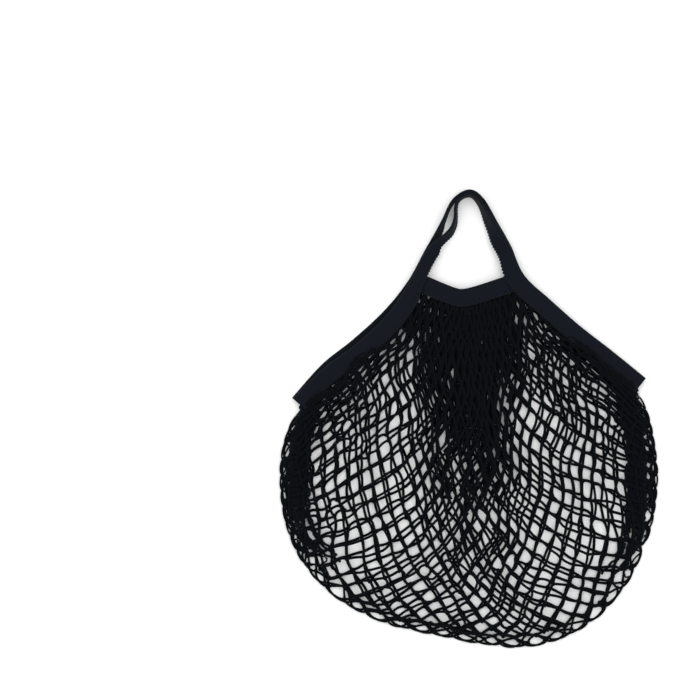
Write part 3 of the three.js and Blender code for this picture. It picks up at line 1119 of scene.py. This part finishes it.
    def _middles(self, step: tuple[int, int]) -> tuple[np.ndarray, np.ndarray, np.ndarray]:
        """Knots that have a neighbour on both sides, a step before and a step after.

        Args:
            step: The step as (columns, rows).

        Returns:
            The knots, the ones before them and the ones after them.
        """
        dc, dr = step
        found = [
            (index, self.number[(c - dc, r - dr)], self.number[(c + dc, r + dr)])
            for (c, r), index in self.number.items()
            if (c - dc, r - dr) in self.number and (c + dc, r + dr) in self.number
        ]
        return tuple(np.array(found).T)


@dataclass
class Netting:
    """The knotted net: two layers joined round the rim, and the pleats that the band gathers."""

    handles: Handles
    bands: Bands
    string: StringTubes = StringTubes()
    back_height: float = 1.6
    layer_rise: float = 10.5
    side_rise: float = 3.4
    rise_length: float = 48.0
    rim_height: float = 3.0
    drift: float = 4.0
    rim_string: StringTubes = StringTubes(radius=1.15)
    loop_length: float = 23.5  # of a loop along the rim, between two of its knots
    loop_lags: tuple[tuple[Face, float], ...] = ((Face.FRONT, 0.12), (Face.BACK, 0.38))
    loop_wander: float = 0.13
    tie_inset: tuple[float, float] = (4.6, 6.6)  # of the knots along the rim
    loop_inset: tuple[float, float] = (0.9, 2.2)  # of the loops between them
    pleat_string: StringTubes = StringTubes(radius=1.15, end_gap=-0.07)
    pleat_rows: float = 31.0
    pleat_span: float = 0.62
    pleat_lays: tuple[tuple[float, float], ...] = ((0.78, -2.3), (0.5, 2.1), (0.25, -4.4))  # height, aside

    def __post_init__(self) -> None:
        """Lays out both layers."""
        self.layout = {face: NetLayout(face, self.handles, self.bands) for face in Face}
        self.knots = {face: self._raise(face) for face in Face}

    def _shift(self, seed: int, layout: NetLayout) -> np.ndarray:
        """How far each knot lies from its even place: a slow drift and a little jitter.

        Args:
            seed: Number of the noise.
            layout: The layer's layout.

        Returns:
            One shift for each knot.
        """
        x, y = layout.points.T
        loose = smooth_step(layout.down, 0.0, 0.12) * smooth_step(1 - layout.down, -0.02, 0.12)
        shift_x = self.drift * Ripple(seed, 85).at(x, y) + 0.9 * Ripple(seed + 1, 16, stretch=3).at(x, y)
        shift_y = self.drift * Ripple(seed + 2, 85).at(x, y) + 0.6 * Ripple(seed + 3, 20).at(x, y)
        jitter = np.random.default_rng(SEED + seed).normal(0, 0.55, (len(x), 2))
        return (np.stack([shift_x, shift_y], -1) + jitter) * loose[:, None]

    def _raise(self, face: Face) -> np.ndarray:
        """The knots of a layer at their heights.

        Args:
            face: Which layer.

        Returns:
            One point for each knot.
        """
        layout = self.layout[face]
        upper = face is Face.FRONT
        points = layout.points + self._shift(11 if upper else 41, layout)
        rim = layout.rim.samples[::10]
        gap = np.sqrt(((points[:, None] - rim[None]) ** 2).sum(-1).min(1))
        near = np.minimum(gap / self.rise_length, 1)
        dome = self.layer_rise * np.sqrt(1 - (1 - near) ** 2)
        rise = np.maximum(dome, self.side_rise * np.minimum(gap / 8, 1))
        swell = Ripple(21 if upper else 22, 60).at(points[:, 0], points[:, 1])
        settled = self.back_height + rise * upper + (0.9 if upper else 0.3) * swell * near
        start = layout.mouth.at(layout.mouth_share(layout.across))[:, 2]
        height = start + (settled - start) * smooth_step(layout.down, 0, 0.25)
        at_rim = smooth_step(10 - gap, 0, 10) * 0.7
        height = height + (self.rim_height + (0.7 if upper else -0.7) - height) * at_rim
        return np.column_stack([points, np.maximum(height, self.string.knot_radius)])

    def _tie(self, skin: Skin, layout: NetLayout, knots: np.ndarray) -> None:
        """Adds the knots, drawn along the columns.

        Args:
            skin: The piece that they become part of.
            layout: The layer's layout.
            knots: Its knots.
        """
        ahead = np.zeros_like(knots)
        first, second = layout.pairs.T
        along = knots[second] - knots[first]
        np.add.at(ahead, first, along)
        np.add.at(ahead, second, along)
        self.string.knots(skin, knots, unit(ahead))

    def _layer(self, face: Face, finish: bpy.types.Material) -> bpy.types.Object:
        """Makes one layer of the net, whose first knots lie under the tape's edge.

        Args:
            face: Which layer.
            finish: The string's material.

        Returns:
            The new piece.
        """
        layout, knots = self.layout[face], self.knots[face]
        skin = Skin()
        first, second = layout.pairs.T
        self.string.bowed(skin, knots[first], knots[second])
        self._tie(skin, layout, knots)
        return skin.build(f"string_net_{face.value}", finish, "string")

    def _by_rim(self, share: np.ndarray, inset: np.ndarray) -> np.ndarray:
        """Places inside the rim.

        Args:
            share: Shares of the rim's length.
            inset: Distances from it.

        Returns:
            One flat place for each share.
        """
        rim = self.layout[Face.FRONT].rim
        ahead = rim.along(share)
        inwards = np.stack([-ahead[:, 1], ahead[:, 0]], -1)
        return rim.at(share) + inwards * np.asarray(inset)[..., None]

    def _knots_by_rim(self, face: Face, share: np.ndarray) -> np.ndarray:
        """The knots of a layer that lie nearest to places along the rim."""
        knots = self.knots[face]
        places = self._by_rim(share, self.layout[face].rim_room + 0 * share)
        return knots[((places[:, None] - knots[None, :, :2]) ** 2).sum(-1).argmin(1)]

    def _rim_loops(self, finish: bpy.types.Material) -> bpy.types.Object:
        """Makes the last row of meshes: knots along the rim, their strings and the loops between them.

        Args:
            finish: The string's material.

        Returns:
            The new piece.
        """
        skin = Skin()
        draw = np.random.default_rng(SEED + 5)
        rim = self.layout[Face.FRONT].rim
        count = int(rim.length / self.loop_length)
        for face, lag in self.loop_lags:
            share = (np.arange(count) + lag + draw.uniform(-1, 1, count) * self.loop_wander) / count
            height = self.rim_height + draw.uniform(-0.9, 0.9, count)
            ties = np.column_stack([self._by_rim(share, draw.uniform(*self.tie_inset, count)), height])
            for aside in (-0.5, 0.5):
                self.rim_string.bowed(skin, ties, self._knots_by_rim(face, share + aside / count), 0.2)
            start, end = ties[:-1], ties[1:]
            between = self._by_rim((share[:-1] + share[1:]) / 2, draw.uniform(*self.loop_inset, count - 1))
            outermost = np.column_stack([between, (height[:-1] + height[1:]) / 2])
            self.rim_string.arcs(skin, start, end, outermost - (start + end) / 2)
            ahead = np.column_stack([rim.along(share), 0 * share])
            self.rim_string.knots(skin, ties, ahead)
        return skin.build("string_net_rim", finish, "string")

    def _pleats(self, finish: bpy.types.Material) -> bpy.types.Object:
        """Makes the netting that is folded in between the layers where the band gathers it.

        Args:
            finish: The string's material.

        Returns:
            The new piece.
        """
        layout = self.layout[Face.FRONT]
        upper, lower = self.knots[Face.FRONT], self.knots[Face.BACK]
        skin = Skin()
        depth = self.pleat_rows * np.clip(1 - np.abs(layout.across) / self.pleat_span, 0.01, 1) ** 1.15
        chance = 1.1 * (1 - layout.row / depth)
        streaks = Ripple(71, 3, stretch=2.4)  # over columns and rows
        first, second = layout.pairs.T
        for number, (level, aside) in enumerate(self.pleat_lays):
            knots = upper.copy()
            knots[:, 2] = upper[:, 2] * level + lower[:, 2] * (1 - level)
            wander = Ripple(61 + number, 40, stretch=2).at(*layout.points.T)
            knots[:, 0] += aside * (1 + 0.5 * wander) * smooth_step(layout.row, -6, 4)
            kept = 0.5 + 0.26 * streaks.at(layout.column + 50 * number, layout.row) < chance
            both = kept[first] & kept[second]
            self.pleat_string.bowed(skin, knots[first[both]], knots[second[both]], 0.12)
        return skin.build("string_net_pleats", finish, "string")

    def build(self, finish: bpy.types.Material) -> None:
        """Makes both layers, the rim and the pleats.

        Args:
            finish: The string's material.
        """
        for face in (Face.BACK, Face.FRONT):
            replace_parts(self._layer(face, finish), "netting")
        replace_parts(self._rim_loops(finish), "netting")
        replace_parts(self._pleats(finish), "netting")


# ---- Side seams ----


@dataclass
class SideSeam:
    """A side seam: the netting's edge turned in and gathered into a dense strip with ragged edges."""

    side: Side
    string: StringTubes = StringTubes()
    route: tuple[tuple[float, float], ...] = (
        (154, 40),
        (162, 8),
        (167, -22),
        (169, -55),
        (168, -88),
        (165, -116),
        (155, -140),
        (136, -161),
        (110, -174),
    )
    left_scale: float = 0.8
    left_shift: float = -9.0
    width: float = 17.0
    end_width: float = 6.0
    narrows_from: float = 0.45
    lift: float = 3.35
    thickness: float = 2.0
    draws: int = 8
    gathers_end: tuple[float, float] = (0.58, 0.92)
    strip_fade: tuple[float, float] = (0.42, 0.68)  # where the closed strip runs out into loose strings
    splay: float = 0.9  # how far these spread beyond it

    def __post_init__(self) -> None:
        """Lays out the seam's middle line, from the corner of the mouth to its drawn-in end."""
        points = np.array(self.route, float)
        if self.side is Side.LEFT:
            points = np.stack([-points[:, 0], points[:, 1] * self.left_scale + self.left_shift], -1)
        self.curve = EvenCurve(points)

    def half_width(self, share: np.ndarray) -> np.ndarray:
        """Half the strip's width at shares of its length."""
        return (self.width + (self.end_width - self.width) * smooth_step(share, self.narrows_from, 1)) / 2

    def place(self, share: np.ndarray, across: np.ndarray, height: np.ndarray) -> np.ndarray:
        """Points on the seam.

        Args:
            share: Shares of its length.
            across: Distances from its middle line.
            height: Heights above the floor.

        Returns:
            One point for each share.
        """
        along = self.curve.along(share)
        normal = np.stack([along[..., 1], -along[..., 0]], -1)
        flat = self.curve.at(share) + normal * np.asarray(across)[..., None]
        return np.concatenate([flat, np.broadcast_to(height, share.shape)[..., None]], -1)

    def _strip(self, skin: Skin) -> None:
        """Adds the gathered strip itself."""
        steps = int(self.strip_fade[1] * self.curve.length / 1.2)
        share = np.linspace(0, self.strip_fade[1], steps)
        across = np.concatenate([np.linspace(-1, 1, 13), np.linspace(1, -1, 13)[1:-1]])
        top = np.concatenate([np.ones(13), -np.ones(11)])
        distance = share * self.curve.length
        edge = Ripple(31 if self.side is Side.LEFT else 32, 8)
        ragged = 0.86 + 0.2 * edge.at(distance[:, None], 40.0 * np.sign(across)[None])
        width = self.half_width(share) * (1 - 0.8 * smooth_step(share, *self.strip_fade))
        offset = across[None] * width[:, None] * ragged
        folds = Ripple(33 if self.side is Side.LEFT else 34, 6, stretch=0.5)
        body = np.sqrt(np.clip(1 - np.abs(across) ** 3, 0, 1))[None]
        wrinkle = folds.at(distance[:, None], offset)
        height = self.lift + self.thickness / 2 + top[None] * body * (self.thickness / 2 + 0.45 * wrinkle)
        rings = self.place(np.repeat(share[:, None], len(across), 1), offset, 0.0)
        rings[..., 2] = np.maximum(height, 0.4)
        around = np.concatenate([[0.0], np.cumsum(np.abs(np.diff(np.concatenate([across, across[:1]]))))])
        skin.add_rings(rings[None], around * self.width / 2, distance[None])

    def _edge_loops(self, skin: Skin, draw: np.random.Generator) -> None:
        """Adds the short loops of string that stick out of both edges.

        Args:
            skin: The piece that they become part of.
            draw: Source of the irregularity.
        """
        count = int(self.curve.length / 2.6)
        for edge in (-1, 1):
            share = np.sort(draw.uniform(0.02, self.strip_fade[1] + 0.1, count))
            next_share = share + draw.uniform(3.0, 7.5, count) / self.curve.length
            half = self.half_width(share)
            height = self.lift + draw.uniform(0.0, 2.4, count)
            inset = edge * (half - 2.5)
            start = self.place(share, inset, height)
            end = self.place(np.minimum(next_share, 1), inset, height)
            reach = self.place(share, inset + edge * draw.uniform(1.0, 4.4, count), height) - start
            self.string.arcs(skin, start, end, reach, rings=7)

    def _gathers(self, skin: Skin, draw: np.random.Generator) -> None:
        """Adds the strings that run along the strip, drawn together by the seam.

        Args:
            skin: The piece that they become part of.
            draw: Source of the irregularity.
        """
        for number, lane in enumerate(np.linspace(-0.9, 0.9, self.draws)):
            end = draw.uniform(*self.gathers_end)
            steps = int(end * self.curve.length / 2)
            share = np.linspace(0, end, steps)
            wander = Ripple(80 + number + 10 * self.side.value, 16).at(share * self.curve.length, 0 * share)
            inner = lane * self.side.value > 0
            spread = 1 + inner * self.splay * smooth_step(share, self.strip_fade[0], 1)
            across = self.half_width(share) * (lane + 0.22 * wander) * spread
            height = self.lift + self.thickness - 0.4 + 0.5 * draw.uniform(-1, 1) + 0.3 * wander
            path = self.place(share, across, height)
            self.string.add(skin, path[None], np.full((1, steps), self.string.radius * 0.9))

    def build(self, finish: bpy.types.Material) -> None:
        """Makes the gathered strip.

        Args:
            finish: The seam's material.
        """
        skin = Skin()
        draw = np.random.default_rng(SEED + 90 + self.side.value)
        self._strip(skin)
        self._gathers(skin, draw)
        self._edge_loops(skin, draw)
        name = self.side.name.lower()
        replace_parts(skin.build(f"gathered_seam_{name}", finish, "seam"), f"seam_{name}")


@dataclass
class Fringe:
    """The crowded netting between a side seam and the rim, with small meshes and loops along the outline."""

    seam: SideSeam
    rim: EvenCurve
    string: StringTubes = StringTubes(radius=0.9)
    rim_span: tuple[float, float] = (1.0, 0.715)
    mesh_along: float = 7.4
    rows: int = 3
    low: float = 2.6
    high: float = 4.6
    gaps: float = 0.15  # share of its strings that are left out below the corner
    fades_from: float = 0.78
    drift: float = 2.2  # how far its knots wander, less towards the rim
    drift_length: float = 12.0
    jitter: float = 0.7

    def _place(self, share: np.ndarray, outward: np.ndarray, seed: int) -> np.ndarray:
        """Places between the seam's middle line and the rim.

        Args:
            share: Shares of the seam's length.
            outward: From 0 at the seam to 1 at the rim.
            seed: Number of the noise.

        Returns:
            One point for each place.
        """
        first, last = self.rim_span
        rim_share = first + (last - first) * share
        if self.seam.side is Side.LEFT:
            rim_share = 1 - rim_share
        inner, outer = self.seam.curve.at(share), self.rim.at(rim_share)
        flat = inner + (outer - inner) * outward[:, None]
        draw = np.random.default_rng(SEED + seed)
        loose = (1 - outward)[:, None]
        noise = [Ripple(seed + axis, self.drift_length).at(*flat.T) for axis in range(2)]
        flat = flat + np.stack(noise, -1) * self.drift * loose
        flat = flat + draw.normal(0, self.jitter, flat.shape) * np.minimum(loose * 3, 1)
        height = draw.uniform(self.low, self.high, len(flat))
        return np.column_stack([flat, height])

    def build(self, finish: bpy.types.Material) -> None:
        """Makes the fringe.

        Args:
            finish: The string's material.
        """
        skin = Skin()
        columns = int(self.seam.curve.length / self.mesh_along)
        column, row = np.meshgrid(np.arange(columns + 1), np.arange(self.rows + 1), indexing="ij")
        kept = (column + row) % 2 == 0
        column, row = column[kept], row[kept]
        outward = (row + 0.2) / (self.rows + 0.55)
        points = self._place(column / columns, outward, 101 + self.seam.side.value)
        pairs = joined(numbered(column, row))
        share = column[pairs[:, 0]] / columns
        chance = 1 - self.gaps * smooth_step(share, 0.05, 0.25) - smooth_step(share, self.fades_from, 1.0)
        pairs = pairs[np.random.default_rng(SEED + 104).uniform(0, 1, len(pairs)) < chance]
        self.string.bowed(skin, points[pairs[:, 0]], points[pairs[:, 1]], 0.5)
        last = np.flatnonzero((row == self.rows) & (column < self.fades_from * columns))
        start, end = points[last[:-1]], points[last[1:]]
        edge = self._place((column[last[:-1]] + 1) / columns, np.full(len(start), 0.985), 103)
        self.string.arcs(skin, start, end, edge - (start + end) / 2)
        piece = skin.build(f"string_fringe_{self.seam.side.name.lower()}", finish, "string")
        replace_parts(piece, "netting")


# ---- Floor, light and camera ----


@dataclass(frozen=True)
class Softbox:
    """A square soft light that faces the bag."""

    name: str
    place: tuple[float, float, float]  # in metres, like its width
    width: float
    watts: float

    def make(self) -> None:
        """Adds the light to the scene."""
        data = bpy.data.lights.new(self.name, "AREA")
        data.size = self.width
        data.energy = self.watts
        lamp = bpy.data.objects.new(self.name, data)
        lamp.location = self.place
        lamp.rotation_euler = (-Vector(self.place)).to_track_quat("-Z", "Y").to_euler()
        bpy.context.scene.collection.objects.link(lamp)


@dataclass
class Studio:
    """A pale floor, soft light from above and a long lens that looks straight down."""

    picture_width: float = 700.0  # of the photo's frame on the bag
    picture_centre: tuple[float, float] = (-119.6, 69.75)  # its middle
    plane_height: float = 8.0
    lens: float = 180.0
    sensor: float = 36.0
    far_limit: float = 20.0  # in metres, like the floor's size
    floor_size: float = 6.0
    surroundings: float = 0.82
    lights: tuple[Softbox, ...] = (
        Softbox("overhead_softbox", (-0.2, 0.5, 2.2), 2.4, 35.0),
        Softbox("side_softbox", (1.6, -0.8, 1.4), 1.2, 6.0),
    )

    def floor(self) -> None:
        """Makes the floor."""
        half = self.floor_size / 2
        corners = [(-half, -half, 0), (half, -half, 0), (half, half, 0), (-half, half, 0)]
        mesh = bpy.data.meshes.new("floor")
        mesh.from_pydata(corners, [], [(0, 1, 2, 3)])
        mesh.materials.append(FloorFinish().make())
        floor = bpy.data.objects.new("floor", mesh)
        bpy.context.scene.collection.objects.link(floor)

    def build(self) -> None:
        """Makes the floor, the lights, the surroundings and the camera."""
        self.floor()
        for softbox in self.lights:
            softbox.make()
        world = bpy.data.worlds.new("studio")
        world.use_nodes = True
        background = world.node_tree.nodes["Background"]
        background.inputs["Color"].default_value = (1, 1, 1, 1)
        background.inputs["Strength"].default_value = self.surroundings
        bpy.context.scene.world = world
        scene = bpy.context.scene
        scene.view_settings.view_transform = "Standard"
        camera = bpy.data.cameras.new("camera")
        camera.lens = self.lens
        camera.sensor_width = self.sensor
        distance = self.picture_width * self.lens / self.sensor
        eye = bpy.data.objects.new("camera", camera)
        x, y = self.picture_centre
        eye.location = (x * MM, y * MM, (self.plane_height + distance) * MM)
        scene.collection.objects.link(eye)
        scene.camera = eye
        camera.clip_end = self.far_limit


def main() -> None:
    """Builds the bag's pieces in order, then the studio."""
    logging.basicConfig(level=logging.INFO, format="%(message)s")
    relief = YarnRelief()
    tape, seam, string = (finish.make(relief) for finish in (TAPE_FINISH, SEAM_FINISH, STRING_FINISH))
    handles, bands = Handles(), Bands()
    handles.build(tape)
    bands.build(tape)
    netting = Netting(handles, bands)
    netting.build(string)
    for side in Side:
        strip = SideSeam(side)
        strip.build(seam)
        Fringe(strip, netting.layout[Face.FRONT].rim).build(string)
    Studio().build()


if __name__ == "__main__":
    main()
